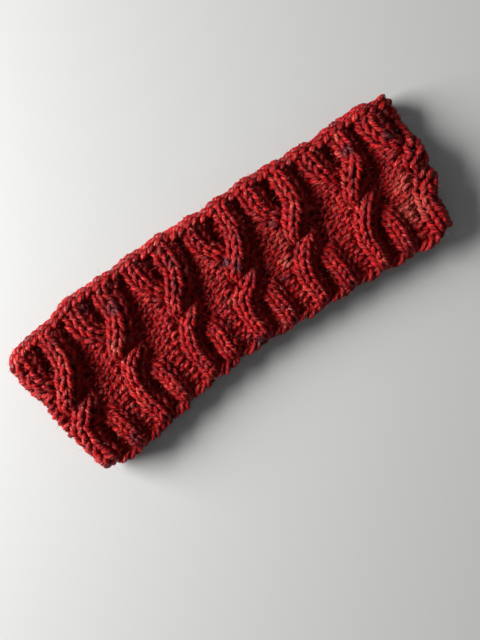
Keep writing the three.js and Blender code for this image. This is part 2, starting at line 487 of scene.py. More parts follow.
# spread of: sideways in stitch widths, down in band widths, out in mm, thickness, lean
KNIT_CHANCE = (0.06, 0.0035, 0.22, 0.07, 0.12)
PURL_CHANCE_SHARE = 0.6  # purl stitches hold each other in place


def hand_chances(seed, count, spread, samples):
    """Chance values for each of a round's stitches, blended into the neighbours' at its ends."""
    drawn = np.random.default_rng(seed).normal(0, spread, (count, len(spread)))[..., None]
    within = (np.arange(samples) + 0.5) / samples - 0.5
    neighbour = np.where(within < 0, np.roll(drawn, 1, axis=0), np.roll(drawn, -1, axis=0))
    return drawn * (1 - np.abs(within)) + neighbour * np.abs(within)


print("a stitch strays sideways by, stitch widths:", KNIT_CHANCE[0])

# %% Steady pulls
BIAS = -0.014  # the crossings pull the rounds askew by this share of the width
BIAS_FROM, BIAS_OVER = 0.12, 0.76  # the part of the width where they do, in shares down
BIAS_ACROSS = 0.04  # where in a repeat a round isn't moved
FAN = 4.0  # mm, how far the bind-off edge is pulled along at a fold


def pulled(across, down):
    """How far the crossings pull the fabric up or down at a place, as a share of the width."""
    strength = np.sin(np.pi * np.clip((down - BIAS_FROM) / BIAS_OVER, 0, 1)) ** 2
    return BIAS * strength * np.sin(2 * np.pi * (across - BIAS_ACROSS))


def fan(walk, down):
    """How far the pull of the bind-off edge moves a place along the walk, mm."""
    return -FAN * np.sin(2 * np.pi * walk / AROUND) * np.maximum(0, 1 - 2 * down)


print("the bind-off edge moves by up to, mm:", FAN)

# %% The room of a stitch
LEFT, RIGHT = -1, 1
FLANK = {LEFT: FLANK_LEFT, RIGHT: FLANK_RIGHT}
NARROWEST = 0.012  # of a repeat


def facing_side(wale, down, side):
    """Where a strand's side or a purl wale's middle lies, across, and how high it is there."""
    table, _, kind = WALES[wale]
    across, lift = smooth(table, 1, down), smooth(table, 2, down)
    if kind == PURL:
        return across, lift
    return across + side * smooth(table, 3, down), np.minimum(lift, FLANK[side])


def room_of_purl(wale, down, before, after):
    """A purl stitch's reach to the left and the right, mm, and the lift at both of its sides."""
    across, lift = facing_side(wale, down, LEFT)
    reach, side_lift = {}, {}
    for side, (neighbour, repeats_away) in ((LEFT, before), (RIGHT, after)):
        edge, edge_lift = facing_side(neighbour, down, -side)
        gap = side * (edge + repeats_away - across)
        half = 0.5 if WALES[neighbour][2] == PURL else 1.0
        reach[side] = np.maximum(gap * half, NARROWEST) * REPEAT
        side_lift[side] = (lift + edge_lift) / 2
    return reach, side_lift


print("a rib's stitch, mm wide:", round(float(smooth(LEFT_STRAND, 3, 0.9) * REPEAT), 1))

# %% The yarn of one stitch
LITTLE = 0.05  # of a row, to find which way a wale runs
HAND_OVER = 0.55  # of half a turn, in which the yarn goes over to its neighbour's side


def stitch(wale, row, before, after, chance):
    """Walk, down, out and radius of the yarn in one stitch of the first repeat."""
    table, side, kind = WALES[wale]
    flatness = PURL_FLATNESS if kind == PURL else 0.0
    height = row + 0.5 - LOOP_REACH * np.cos(turn) * (1 + flatness * np.sin(turn) ** 2)
    lower_down, down, upper_down = (down_of(height + d) for d in (-LITTLE, 0, LITTLE))
    across, lift = smooth(table, 1, down), smooth(table, 2, down)
    spread = LEG_SPREAD if kind == KNIT else PURL_SPREAD
    share = (turn - np.pi) / (2 * np.pi) + spread * np.sin(2 * turn)
    if kind == KNIT:
        width = smooth(table, 3, down) * REPEAT
        sideways = width * (side + share)
        from_middle = np.clip(sideways / width, -1, 1)
        flank = (FLANK_LEFT + FLANK_RIGHT) / 2 + (FLANK_RIGHT - FLANK_LEFT) / 2 * from_middle
        drop = np.maximum(lift - flank, 0) * FLANK_SHARE * np.abs(from_middle) ** FLANK_POWER
        lift = lift - drop
    else:
        chance = chance * PURL_CHANCE_SHARE
        reach, side_lift = room_of_purl(wale, down, before, after)
        width = reach[LEFT] + reach[RIGHT]
        sideways = 2 * share * np.where(share < 0, reach[LEFT], reach[RIGHT])
        near = np.clip(2 * np.abs(share), 0, 1)
        lift = lift * (1 - near) + np.where(share < 0, side_lift[LEFT], side_lift[RIGHT]) * near
    sideways = sideways + (chance[0] + chance[4] * (height - row - 0.5)) * width
    start = ease(np.clip(turn / (HAND_OVER * np.pi), 0, 1))
    end = ease(np.clip((2 * np.pi - turn) / (HAND_OVER * np.pi), 0, 1))
    sign_before, sign_after = (WALES[neighbour][2] for neighbour, _ in (before, after))
    sign = kind + (sign_before - kind) / 2 * (1 - start) + (sign_after - kind) / 2 * (1 - end)
    swing = -np.cos(2 * turn) * sign
    if kind == PURL:
        swing = swing - PURL_FOOT * ((1 + np.cos(turn)) / 2) ** 2 * np.maximum(-sign, 0)
    out = lift + LOOP_DEPTH * swing + chance[2]
    # a row of knit stitches lies square to its strand, a row of purl stitches goes on straight
    run = (smooth(table, 1, upper_down) - smooth(table, 1, lower_down)) * REPEAT
    run = run if kind == KNIT else 0 * run
    climb = (lower_down - upper_down) * USUAL_WIDTH
    length = np.hypot(run, climb)
    along_x, along_y = run / length, climb / length
    walk = across * REPEAT + along_y * sideways
    down = down + along_x * sideways / USUAL_WIDTH + chance[1]
    down = down - pulled(across, down)
    pressed = np.clip(width / TIGHT_WALE, THINNEST, 1)
    plump = 1 + PLUMP * swing if kind == KNIT else PURL_THICK
    return walk, down, out, YARN_RADIUS * pressed * plump * (1 + chance[3])


even = np.zeros((len(KNIT_CHANCE), SAMPLES))
example = 2 * stitch("left_a", 2, ("outer_b", -1), ("left_b", 0), even)[3]
print("a knit stitch's yarn, mm thick:", round(example.min(), 2), "to", round(example.max(), 2))

# %% The yarn of a whole round
def round_path(row):
    """The closed path of the yarn in one round: walk, down, out and radius."""
    chances = iter(hand_chances(ROUND_SEED + row, REPEATS * len(WALES), KNIT_CHANCE, SAMPLES))
    order = order_at(down_of(row + 0.5))
    last = len(order) - 1
    parts = []
    for repeat in range(REPEATS):
        axis = CABLE_RIGHT_OF_MIDDLE + repeat * REPEAT
        for index, wale in enumerate(order):
            before = (order[index - 1], -1 if index == 0 else 0)
            after = (order[0], 1) if index == last else (order[index + 1], 0)
            walk, down, out, thick = stitch(wale, row, before, after, next(chances))
            walk = walk + axis
            walk = walk + fan(walk, down)
            waved = (UNEVEN_WALK, UNEVEN_DOWN, UNEVEN_OUT)
            walk_by, down_by, out_by = (UNEVEN_MM * wave(walk, down) for wave in waved)
            walk = walk + walk_by
            down = down + down_by / USUAL_WIDTH
            out = out + UNEVEN_OUT_SHARE * out_by
            parts.append(np.stack([walk, down, out, thick]))
    return np.concatenate(parts, axis=1)


print("points in a round:", round_path(0).shape[1])

# %% [markdown]
# ## Yarn as a mesh
#
# The yarn is four plies twisted together. Its section has eight corners, one in each groove and
# one on each ply, and the section turns as it travels, so the grooves run round the yarn as they
# do in the real one. A curve with a round bevel would be quicker to make, but it could not have
# the plies or swell and thin with the loops. Where the band goes round a fold its stitches open
# up and the wool in them relaxes, so the yarn is drawn thicker there.

# %% From the fabric to places on the table
SETTLE_BELOW = 0.9  # of the yarn's radius above the table
SETTLE_GIVE = 0.12  # how much of its depth below that is kept


def unit(vectors):
    """The same directions, each one long."""
    return vectors / np.linalg.norm(vectors, axis=-1, keepdims=True)


def settle(points):
    """Presses what would sink into the table flat on it."""
    height = points[:, 2]
    low = YARN_RADIUS * SETTLE_BELOW
    points[:, 2] = np.where(height < low, low + (height - low) * SETTLE_GIVE, height)
    return points


def place(path):
    """Points on the table, mm, and the direction out of the fabric at each."""
    walk, down, out = path[:3]
    here = on_band(walk, down, out)
    outward = unit(on_band(walk, down, out + 0.5) - here)
    return settle(here - PLAN_MIDDLE), outward


def relax(path):
    """Rounds off the corners of a closed path."""
    return (np.roll(path, 1, axis=0) + 2 * path + np.roll(path, -1, axis=0)) / 4


print("the first round's lowest point, mm:", round(place(round_path(0))[0][:, 2].min(), 2))

# %% From a path to a strand
PLIES = 4
SIDES = 8
GROOVE = 0.84  # the radius in a groove, as a share of that on a ply
TWIST = 8.6  # mm of yarn for one full turn of the plies
FULLER_AT_FOLD = 0.14  # by this share the yarn is thicker at a fold
FULLER_REACH = 22  # mm from a fold, where that starts
MM_IN_CM = 10


def strand_of(path, length_before):
    """A closed strand of plied yarn: its corners, faces and map, and what its fibres need."""
    points, outward = place(path)
    along = np.interp(np.mod(path[0], AROUND), loop_walk, loop_along)
    near_fold = ease(np.clip(1 - np.minimum(along, band_length - along) / FULLER_REACH, 0, 1))
    points, thick = relax(points), relax(path[3] * (1 + FULLER_AT_FOLD * near_fold))
    ahead = unit(np.roll(points, -1, axis=0) - np.roll(points, 1, axis=0))
    side = unit(np.cross(ahead, outward))
    up = np.cross(side, ahead)
    gaps = np.linalg.norm(np.roll(points, -1, axis=0) - points, axis=1)
    run = np.concatenate([[0], np.cumsum(gaps)])
    corner = np.arange(SIDES)
    turns = round(run[-1] / TWIST)
    angle = 2 * np.pi * (corner[None, :] / SIDES + run[:-1, None] / run[-1] * turns)
    reach = np.where(corner % (SIDES // PLIES) == 0, GROOVE, 1.0) * thick[:, None]
    ring = np.cos(angle)[..., None] * side[:, None] + np.sin(angle)[..., None] * up[:, None]
    corners = (points[:, None] + reach[..., None] * ring).reshape(-1, 3)
    i, k = np.meshgrid(np.arange(len(points)), corner, indexing="ij")
    j, m = (i + 1) % len(points), (k + 1) % SIDES
    faces = np.stack([i * SIDES + k, i * SIDES + m, j * SIDES + m, j * SIDES + k], axis=-1)
    from_here = (length_before + run[i]) / MM_IN_CM
    to_there = (length_before + run[i + 1]) / MM_IN_CM
    u = np.stack([from_here, from_here, to_there, to_there], axis=-1)
    v = np.stack([k, k + 1, k + 1, k], axis=-1) / SIDES
    return {
        "corners": corners,
        "faces": faces.reshape(-1, 4),
        "yarn": np.stack([u, v], axis=-1).reshape(-1, 4, 2),
        "length": run[-1],
        "points": points,
        "frame": (ahead, side, up),
        "thick": thick,
        "places": (length_before + run[:-1]) / MM_IN_CM,
    }


print("turns of the plies in a metre:", round(1000 / TWIST))

# %% [markdown]
# ## Maps and flecks
#
# Each piece has two UV maps. "yarn" holds the length along the yarn in centimetres and the turn
# round it, which is what the wool finish reads. The second lays the yarn out flat, in rows side
# by side inside the unit square, so that its colours can be painted into an image.
#
# The dyer's brush left a few flecks of plum and some patches of pale salmon. Their places were
# chosen one by one, and every corner of the mesh near one gets a value for it, which the wool
# finish reads as an attribute. A painted image could say the same, but it would need its own file.

# %% Flecks
# x, y, radius in mm, strength of plum, strength of pale
FLECKS = np.array([
    (-62, 26, 6.0, 0.9, 0.0),
    (-77, 36, 5.0, 0.6, 0.0),
    (3, 11, 4.5, 0.9, 0.0),
    (7, 6, 4.0, 0.9, 0.0),
    (24, -15, 3.0, 1.0, 0.0),
    (37, 13, 4.0, 0.6, 0.0),
    (93, 23, 5.5, 0.9, 0.0),
    (117, 17, 4.5, 0.7, 0.0),
    (-6, -36, 5.0, 1.0, 0.0),
    (-93, -39, 5.5, 0.8, 0.0),
    (-21, 29, 6.5, 0.5, 0.0),
    (31, -8, 4.0, 0.0, 1.0),
    (122, -9, 5.0, 0.0, 0.45),
    (109, -10, 8.0, 0.0, 0.5),
    (105, -25, 11.0, 0.0, 0.7),
    (-74, 8, 6.0, 0.0, 0.5),
    (-7, -8, 4.5, 0.0, 0.4),
    (36, 4, 8.0, 0.0, 0.25),
])
UPPER_FROM = 9.0  # mm above the table, where the upper layer starts
FLECK_FIRMNESS = 1.4  # above 1 a fleck has an even middle


def flecked(corners, column):
    """The strongest of a kind of fleck at each corner, from 0 to 1."""
    apart = np.hypot(*(corners[:, None, axis] - FLECKS[:, axis] for axis in (0, 1)))
    firm = np.clip(FLECK_FIRMNESS * (1 - apart / FLECKS[:, 2]), 0, 1)
    return (ease(firm) * FLECKS[:, column]).max(axis=1) * (corners[:, 2] > UPPER_FROM)


print("flecks of plum:", (FLECKS[:, 3] > 0).sum(), " pale patches:", (FLECKS[:, 4] > 0).sum())

# %% The flat map
FLAT_MAP = "OFBake"  # the map that the yarn's colours are painted through
YARN_GIRTH = 2 * math.pi * YARN_RADIUS / MM_IN_CM
ROW_MARGIN = 0.06  # left free on both sides of a row, as a share of it
ROW_USED = 0.99  # of a row's length
ROW_SPARE = 1.0001  # keeps the last face of the yarn inside the last row


def laid_flat(yarn):
    """The yarn's map cut into equal lengths that lie side by side in the unit square."""
    first = yarn[..., 0].min()
    length = yarn[..., 0].max() - first
    rows = max(1, round(math.sqrt(length / YARN_GIRTH)))
    row_length = length / rows * ROW_SPARE
    start = yarn[:, :, 0].min(axis=1, keepdims=True) - first
    row = np.floor(start / row_length)
    u = (yarn[..., 0] - first - row * row_length) / row_length * ROW_USED
    v = (row + ROW_MARGIN + (1 - 2 * ROW_MARGIN) * yarn[..., 1]) / rows
    return np.stack([u, v], axis=-1)


print("yarn, cm round:", round(YARN_GIRTH, 2))

# %% From strands to a piece
TABLE_TOUCH = 0.02  # mm, nothing lies lower than this


def make_piece(name, corners, faces, maps):
    """A mesh object on the table from corners in mm, faces of one size and named UV maps."""
    mesh = bpy.data.meshes.new(name)
    mesh.vertices.add(len(corners))
    on_table = np.maximum(corners, (-np.inf, -np.inf, TABLE_TOUCH)) * MM
    mesh.vertices.foreach_set("co", on_table.astype(np.float32).ravel())
    mesh.loops.add(faces.size)
    mesh.loops.foreach_set("vertex_index", faces.astype(np.int32).ravel())
    mesh.polygons.add(len(faces))
    starts = np.arange(len(faces)) * faces.shape[1]
    mesh.polygons.foreach_set("loop_start", starts.astype(np.int32))
    for map_name, uv in maps.items():
        layer = mesh.uv_layers.new(name=map_name)
        layer.data.foreach_set("uv", uv.astype(np.float32).ravel())
    for column, kind in ((3, "plum"), (4, "pale")):
        values = flecked(corners, column).astype(np.float32)
        mesh.attributes.new(kind, "FLOAT", "POINT").data.foreach_set("value", values)
    mesh.update(calc_edges=True)
    mesh.polygons.foreach_set("use_smooth", np.ones(len(faces), bool))
    piece = bpy.data.objects.new(name, mesh)
    bpy.context.collection.objects.link(piece)
    return piece


def yarn_piece(name, strands):
    """One piece of one or more closed strands."""
    offsets = np.cumsum([0] + [len(s["corners"]) for s in strands])
    corners = np.concatenate([s["corners"] for s in strands])
    faces = np.concatenate([s["faces"] + offset for s, offset in zip(strands, offsets)])
    yarn = np.concatenate([s["yarn"] for s in strands])
    return make_piece(name, corners, faces, {"yarn": yarn, FLAT_MAP: laid_flat(yarn)})


print("triangles round the yarn at each step:", 2 * SIDES)

# %% [markdown]
# ## The rounds
#
# The band is worked in the round, so every round is one closed strand. All of them could be one
# mesh, but four rounds to a piece keep each piece under 200,000 triangles.

# %% Knit the rounds
ROUNDS_IN_PIECE = 4
yarn_used = 0.0
strands_of = {}
for first in range(0, ROWS, ROUNDS_IN_PIECE):
    last = min(first + ROUNDS_IN_PIECE, ROWS)
    strands = []
    for row in range(first, last):
        strands.append(strand_of(round_path(row), yarn_used))
        yarn_used += strands[-1]["length"]
    strands_of[f"rounds_{first + 1:02d}_{last:02d}"] = strands
print("yarn in the rounds, m:", round(yarn_used / 1000, 1))

# %% [markdown]
# ## The two edges
#
# Binding off leaves a chain along the edge: each loop lies on its side over the last one, so
# the edge looks like a small braid whose Vs point to the right. Casting on leaves a row of
# slanted strokes, as of two yarns twisted together. Both edges are scalloped: between two ribs
# the bind-off edge draws in and the cast-on edge stands out. One plain cord along each edge
# would be simpler, but the edges are what the eye follows, so both are worked as real yarn.

# %% Bind-off chain
CHAIN_DOWN = 0.046  # a share down
CHAIN_OUT = 1.2  # mm out of the wall's middle surface
CHAIN_ARM = 1.9  # mm, half a link's width
CHAIN_LEAN = 0.75  # mm, how far a link's arms cross over
CHAIN_REACH = 0.80  # half a link's length, in links
CHAIN_DEPTH = 1.1  # mm, how far a link swings up and down
CHAIN_TILT = math.radians(28)  # how far the chain leans over the edge
CHAIN_SCALLOP = 0.006  # in shares, how much further down it runs between two ribs
CHAIN_DIP = 0.4  # mm, how much deeper it lies there
CHAIN_BETWEEN = 0.045  # a place between two ribs, in repeats right of the cable's axis
CHAIN_UNEVEN = 0.011  # in shares, how far the slow waves move it
CHAIN_THICK = 1.12  # of the yarn's radius
CHAIN_PLUMP = 0.22  # how much thicker a link's arms are, and how much thinner its ends
CHAIN_SAMPLES = 20  # points along the yarn in one link
CHAIN_SEED = 107
# spread of: along, aside and depth in mm, thickness
CHAIN_CHANCE = (0.55, 0.35, 0.4, 0.10)
LINKS = REPEATS * len(WALES)


def chain_path():
    """The bind-off yarn: one link a stitch, lying along the edge, points to the right."""
    chances = hand_chances(CHAIN_SEED, LINKS, CHAIN_CHANCE, CHAIN_SAMPLES)
    angle = 2 * np.pi * (np.arange(CHAIN_SAMPLES) + 0.5) / CHAIN_SAMPLES
    link = AROUND / LINKS
    parts = []
    for index, chance in enumerate(chances):
        walk = -link * (index + angle / (2 * np.pi) - CHAIN_REACH * np.cos(angle)) + chance[0]
        aside = -CHAIN_ARM * np.sin(angle) + CHAIN_LEAN * np.sin(2 * angle) + chance[1]
        depth = -CHAIN_DEPTH * np.cos(2 * angle) + chance[2]
        across = (walk - CABLE_RIGHT_OF_MIDDLE) / REPEAT - CHAIN_BETWEEN
        between = np.cos(4 * np.pi * across)
        down = CHAIN_DOWN + CHAIN_SCALLOP * between + CHAIN_UNEVEN * UNEVEN_DOWN(walk, 0 * walk)
        down = down + (aside * math.cos(CHAIN_TILT) - depth * math.sin(CHAIN_TILT)) / USUAL_WIDTH
        out = CHAIN_OUT - CHAIN_DIP * between
        out = out + aside * math.sin(CHAIN_TILT) + depth * math.cos(CHAIN_TILT)
        plump = 1 - CHAIN_PLUMP * np.cos(2 * angle)
        thick = YARN_RADIUS * CHAIN_THICK * plump * (1 + chance[3])
        parts.append(np.stack([walk + fan(walk, down), down, out, thick]))
    return np.concatenate(parts, axis=1)


strands_of["bind_off_chain"] = [strand_of(chain_path(), yarn_used)]
yarn_used += strands_of["bind_off_chain"][0]["length"]
print("links of the chain:", LINKS)

# %% Cast-on edge
CAST_DOWN = 0.982  # a share down
CAST_OUT = -0.9  # mm out of the wall's middle surface
CAST_ARM = 1.15  # mm, how far the two yarns swing out and in
CAST_SWING = 1.5  # mm, how far they swing across the edge
CAST_THICK = 0.92  # of the yarn's radius
CAST_SCALLOP = 0.010  # in shares, how much further down they run between two ribs
CAST_RISE = 0.5  # mm, how much further out they lie there
CAST_BETWEEN = 0.12  # a place between two ribs, in repeats right of the cable's axis
CAST_SAMPLES = 14  # points along the yarn in one turn round the other
CAST_SEEDS = (201, 202)
# spread of: along, down and out in mm, swing, thickness
CAST_CHANCE = (0.9, 0.45, 0.35, 0.28, 0.10)


def cast_path(phase, seed):
    """One of the two cast-on yarns, which wind round each other once every two stitches."""
    turns = LINKS // 2
    chances = hand_chances(seed, turns, CAST_CHANCE, CAST_SAMPLES)
    along, lower, outer, swing, thicker = chances.transpose(1, 0, 2).reshape(len(CAST_CHANCE), -1)
    share = np.arange(turns * CAST_SAMPLES) / (turns * CAST_SAMPLES)
    angle = 2 * np.pi * share * turns + phase
    walk = share * AROUND + along
    across = (walk - CABLE_RIGHT_OF_MIDDLE) / REPEAT - CAST_BETWEEN
    between = np.cos(4 * np.pi * across)
    down = CAST_DOWN + CAST_SCALLOP * between
    down = down + (lower - CAST_SWING * (1 + swing) * np.sin(angle)) / USUAL_WIDTH
    out = CAST_OUT + CAST_RISE * between + outer + CAST_ARM * np.cos(angle)
    return np.stack([walk, down, out, YARN_RADIUS * CAST_THICK * (1 + thicker)])


strands = []
for phase, seed in zip((0, math.pi), CAST_SEEDS):
    strands.append(strand_of(cast_path(phase, seed), yarn_used))
    yarn_used += strands[-1]["length"]
strands_of["cast_on_edge"] = strands
yarn_pieces = [yarn_piece(name, strands) for name, strands in strands_of.items()]
print("all the yarn, m:", round(yarn_used / 1000, 1))
print("triangles of yarn:", sum(2 * len(piece.data.polygons) for piece in yarn_pieces))

# %% [markdown]
# ## Stray fibres
#
# Aran wool is spun loosely, so fibre ends stand off the yarn everywhere. They soften the
# stitches and give the edge of the band its halo. A particle system would make them too, but
# only a mesh goes into an exported model. Each fibre here is two long three-sided spikes base
# to base, bent where they meet, so that it is a closed body of six triangles. Real fibres are
# far thinner than a pixel, so these are drawn about five times as thick and there are fewer.

# %% Short fibre ends
FIBRES_PER_CM = 14.0  # of yarn
FIBRE_LENGTH = 2.0  # mm, the usual one
FIBRE_SPREAD = 0.6  # of the lengths, on a logarithmic scale
FIBRE_SHORTEST, FIBRE_LONGEST = 0.5, 6.5  # mm
FIBRE_RADIUS = 0.065  # mm
FIBRE_ROOT = 0.7  # how far from the yarn's middle it starts, as a share of the radius
FIBRE_SEED = 31
# how strongly a fibre heads outwards, along the yarn and anywhere, and how much it bends
FIBRE_OUTWARDS, FIBRE_ALONG, FIBRE_ANYWHERE, FIBRE_BEND = 0.8, 0.9, 0.4, 0.9
# corner 0 is the root, 1 to 3 go round the middle and 4 is the tip
FIBRE_FACES = np.array([(0, 2, 1), (0, 3, 2), (0, 1, 3), (4, 1, 2), (4, 2, 3), (4, 3, 1)])
# where a fibre's corners lie in its own cell of the flat map
FIBRE_CELL = np.array([(0.1, 0.5), (0.5, 0.1), (0.6, 0.5), (0.5, 0.9), (0.95, 0.5)])


def fibre_piece(name, strands, seed):
    """Fibre ends all over some strands, as one piece."""
    random = np.random.default_rng(seed)
    points = np.concatenate([s["points"] for s in strands])
    ahead, side, up = (np.concatenate([s["frame"][axis] for s in strands]) for axis in range(3))
    thick = np.concatenate([s["thick"] for s in strands])
    places = np.concatenate([s["places"] for s in strands])
    count = round(FIBRES_PER_CM * sum(s["length"] for s in strands) / MM_IN_CM)
    pick = random.integers(0, len(points), count)
    around = random.uniform(0, 2 * np.pi, (count, 1))
    outward = np.cos(around) * side[pick] + np.sin(around) * up[pick]
    forward = ahead[pick] * random.choice((-1, 1), (count, 1))
    anywhere = FIBRE_ANYWHERE * random.normal(size=(count, 3))
    heading = unit(FIBRE_OUTWARDS * outward + FIBRE_ALONG * forward + anywhere)
    bent = unit(heading + FIBRE_BEND * random.normal(size=(count, 3)))
    length = random.lognormal(math.log(FIBRE_LENGTH), FIBRE_SPREAD, (count, 1))
    length = np.clip(length, FIBRE_SHORTEST, FIBRE_LONGEST)
    root = points[pick] + outward * thick[pick, None] * FIBRE_ROOT
    middle = root + heading * length / 2
    tip = middle + bent * length / 2
    across = unit(np.cross(heading, outward + 0.01))
    third = np.cross(heading, across)
    angle = (2 * np.pi / 3 * np.arange(3))[None, :, None]
    ring = FIBRE_RADIUS * (np.cos(angle) * across[:, None] + np.sin(angle) * third[:, None])
    corners = np.concatenate([root[:, None], middle[:, None] + ring, tip[:, None]], axis=1)
    corners = corners.reshape(-1, 3)
    in_each = len(FIBRE_CELL)
    corner = FIBRE_FACES[None] + in_each * np.arange(count)[:, None, None]
    cells = math.ceil(math.sqrt(count))
    cell = np.stack(np.divmod(np.arange(count), cells), axis=-1)[:, None]
    flat = ((cell + FIBRE_CELL) / cells).reshape(-1, 2)[corner]
    length_and_turn = [np.repeat(places[pick], in_each), np.full(in_each * count, 0.5)]
    yarn = np.stack(length_and_turn, axis=-1)[corner]
    faces = corner.reshape(-1, 3)
    return make_piece(name, corners, faces, {"yarn": yarn, FLAT_MAP: flat})


fibre_pieces = [
    fibre_piece(f"fibres_of_{name}", strands, FIBRE_SEED + number)
    for number, (name, strands) in enumerate(strands_of.items())
]
print("triangles of fibres:", sum(len(piece.data.polygons) for piece in fibre_pieces))

# %% [markdown]
# ## Wool
#
# The yarn is hand-dyed aran wool, spun from long fibres and plied. The dye is laid on by hand,
# so the red drifts along the yarn from a deep crimson to vermilion and, in places, to a pale
# salmon, a few centimetres at a time. Pale and dark fibres in the spinning streak it finely. To
# the eye wool is soft: its fibres break up the light, and all that is left of gloss is a weak
# glint on the crest of each ply. The finish follows the yarn's own map, so the dye and the
# streaks run along every stitch and don't slide over the fabric.

# %% Colours and a helper
def linear(hex_colour):
    """An sRGB hex colour as Blender's linear red, green, blue and alpha."""
    parts = [int(hex_colour[i:i + 2], 16) / 255 for i in (1, 3, 5)]
    return [p / 12.92 if p <= 0.04045 else ((p + 0.055) / 1.055) ** 2.4 for p in parts] + [1.0]


print("a middle red, linear:", [round(p, 3) for p in linear("#AE0D14")[:3]])


def add_node(material, kind, inputs=None, stops=(), **settings):
    """Adds a node with its settings. Each input takes a plain value or another node's socket."""
    node = material.node_tree.nodes.new(kind)
    for name, value in settings.items():
        setattr(node, name, value)
    for key, value in (inputs or {}).items():
        if isinstance(value, bpy.types.NodeSocket):
            material.node_tree.links.new(value, node.inputs[key])
        else:
            node.inputs[key].default_value = value
    for index, (place, colour) in enumerate(stops):
        if index >= len(node.color_ramp.elements):
            node.color_ramp.elements.new(place)
        node.color_ramp.elements[index].position = place
        node.color_ramp.elements[index].color = linear(colour)
    return node


def new_material(name):
    material = bpy.data.materials.new(name)
    material.use_nodes = True
    material.node_tree.nodes.clear()
    return material


# %% Dye along the yarn
DYE_PER_CM = 0.25  # the dye changes about every 4 cm
DYE_REDS = (
    (0.30, "#66060E"),
    (0.42, "#8E0912"),
    (0.50, "#AE0D14"),
    (0.58, "#C81917"),
    (0.68, "#DC5A4A"),
)


def dye_of(material, reds):
    """The place along the yarn, the turn round it and the dye's colour."""
    yarn = add_node(material, "ShaderNodeUVMap", uv_map="yarn").outputs["UV"]
    split = add_node(material, "ShaderNodeSeparateXYZ", {"Vector": yarn})
    length, round_it = split.outputs["X"], split.outputs["Y"]
    line = add_node(material, "ShaderNodeCombineXYZ", {"X": length}).outputs["Vector"]
    dye = add_node(
        material, "ShaderNodeTexNoise",
        {"Vector": line, "Scale": DYE_PER_CM, "Detail": 4.0, "Roughness": 0.75},
    )
    colour = add_node(material, "ShaderNodeValToRGB", {"Fac": dye.outputs["Fac"]}, reds)
    return length, round_it, colour.outputs["Color"]


wool = new_material("hand_dyed_plied_aran_wool")
length, round_it, colour = dye_of(wool, DYE_REDS)
print("the dye changes every, cm:", 1 / DYE_PER_CM)

# %% Places on the yarn: along it, and round it on a circle that closes without a seam
LENGTHWISE = 0.35  # of the circle's radius for a centimetre, so streaks are long
turned = add_node(
    wool, "ShaderNodeMath", {0: round_it, 1: 2 * math.pi}, operation="MULTIPLY",
).outputs[0]
fibre_place = add_node(wool, "ShaderNodeCombineXYZ", {
    "X": add_node(
        wool, "ShaderNodeMath", {0: length, 1: LENGTHWISE}, operation="MULTIPLY",
    ).outputs[0],
    "Y": add_node(wool, "ShaderNodeMath", {0: turned}, operation="COSINE").outputs[0],
    "Z": add_node(wool, "ShaderNodeMath", {0: turned}, operation="SINE").outputs[0],
}).outputs["Vector"]
print("a streak is longer than wide, times:", round(MM_IN_CM / LENGTHWISE / YARN_RADIUS))

# %% Streaks of single fibres, too fine to show, so drawn about half a millimetre wide
STREAKS_IN_RADIUS = 3.2
streaks = add_node(wool, "ShaderNodeTexNoise", {
    "Vector": fibre_place,
    "Scale": STREAKS_IN_RADIUS,
    "Detail": 3.0,
    "Roughness": 0.62,
}).outputs["Fac"]
dark = add_node(
    wool, "ShaderNodeValToRGB", {"Fac": streaks}, ((0.30, "#C8C8C8"), (0.48, "#000000")),
).outputs["Color"]
pale = add_node(
    wool, "ShaderNodeValToRGB", {"Fac": streaks}, ((0.61, "#000000"), (0.71, "#F0F0F0")),
).outputs["Color"]
for share, streak in ((dark, "#36040A"), (pale, "#EC9482")):
    colour = add_node(
        wool, "ShaderNodeMix", {0: share, 6: colour, 7: linear(streak)}, data_type="RGBA",
    ).outputs[2]
print("streaks, mm wide:", round(YARN_RADIUS / STREAKS_IN_RADIUS, 2))

# %% Flecks of plum, with grey fibres in them, and pale patches
PLUM_STRENGTH = 1.7
plum = add_node(wool, "ShaderNodeAttribute", attribute_name="plum").outputs["Fac"]
plum = add_node(wool, "ShaderNodeMath", {0: plum, 1: streaks}, operation="MULTIPLY").outputs[0]
plum = add_node(
    wool, "ShaderNodeMath", {0: plum, 1: PLUM_STRENGTH}, operation="MULTIPLY", use_clamp=True,
).outputs[0]
plum_fibres = add_node(
    wool, "ShaderNodeValToRGB", {"Fac": streaks},
    ((0.35, "#0C0810"), (0.52, "#2A1420"), (0.70, "#6E5866")),
).outputs["Color"]
salmon = add_node(wool, "ShaderNodeAttribute", attribute_name="pale").outputs["Fac"]
for share, patch in ((plum, plum_fibres), (salmon, linear("#C4564A"))):
    colour = add_node(
        wool, "ShaderNodeMix", {0: share, 6: colour, 7: patch}, data_type="RGBA",
    ).outputs[2]
print("nodes so far:", len(wool.node_tree.nodes))

# %% Grooves between the plies: painted shade, dark because little light gets in
half_turns = add_node(
    wool, "ShaderNodeMath", {0: turned, 1: PLIES / 2}, operation="MULTIPLY",
).outputs[0]
ply = add_node(wool, "ShaderNodeMath", {0: half_turns}, operation="SINE").outputs[0]
ply = add_node(wool, "ShaderNodeMath", {0: ply}, operation="ABSOLUTE").outputs[0]
groove = add_node(wool, "ShaderNodeMath", {0: ply, 1: 0.5}, operation="POWER").outputs[0]
# painted shade: the base colour is darkened in every groove between the plies
painted_groove_shade = add_node(
    wool, "ShaderNodeValToRGB", {"Fac": groove}, ((0.25, "#707070"), (0.8, "#FFFFFF")),
).outputs["Color"]
colour = add_node(
    wool, "ShaderNodeMix", {0: 1.0, 6: colour, 7: painted_groove_shade}, data_type="RGBA", blend_type="MULTIPLY",
).outputs[2]
print("grooves round the yarn:", PLIES)

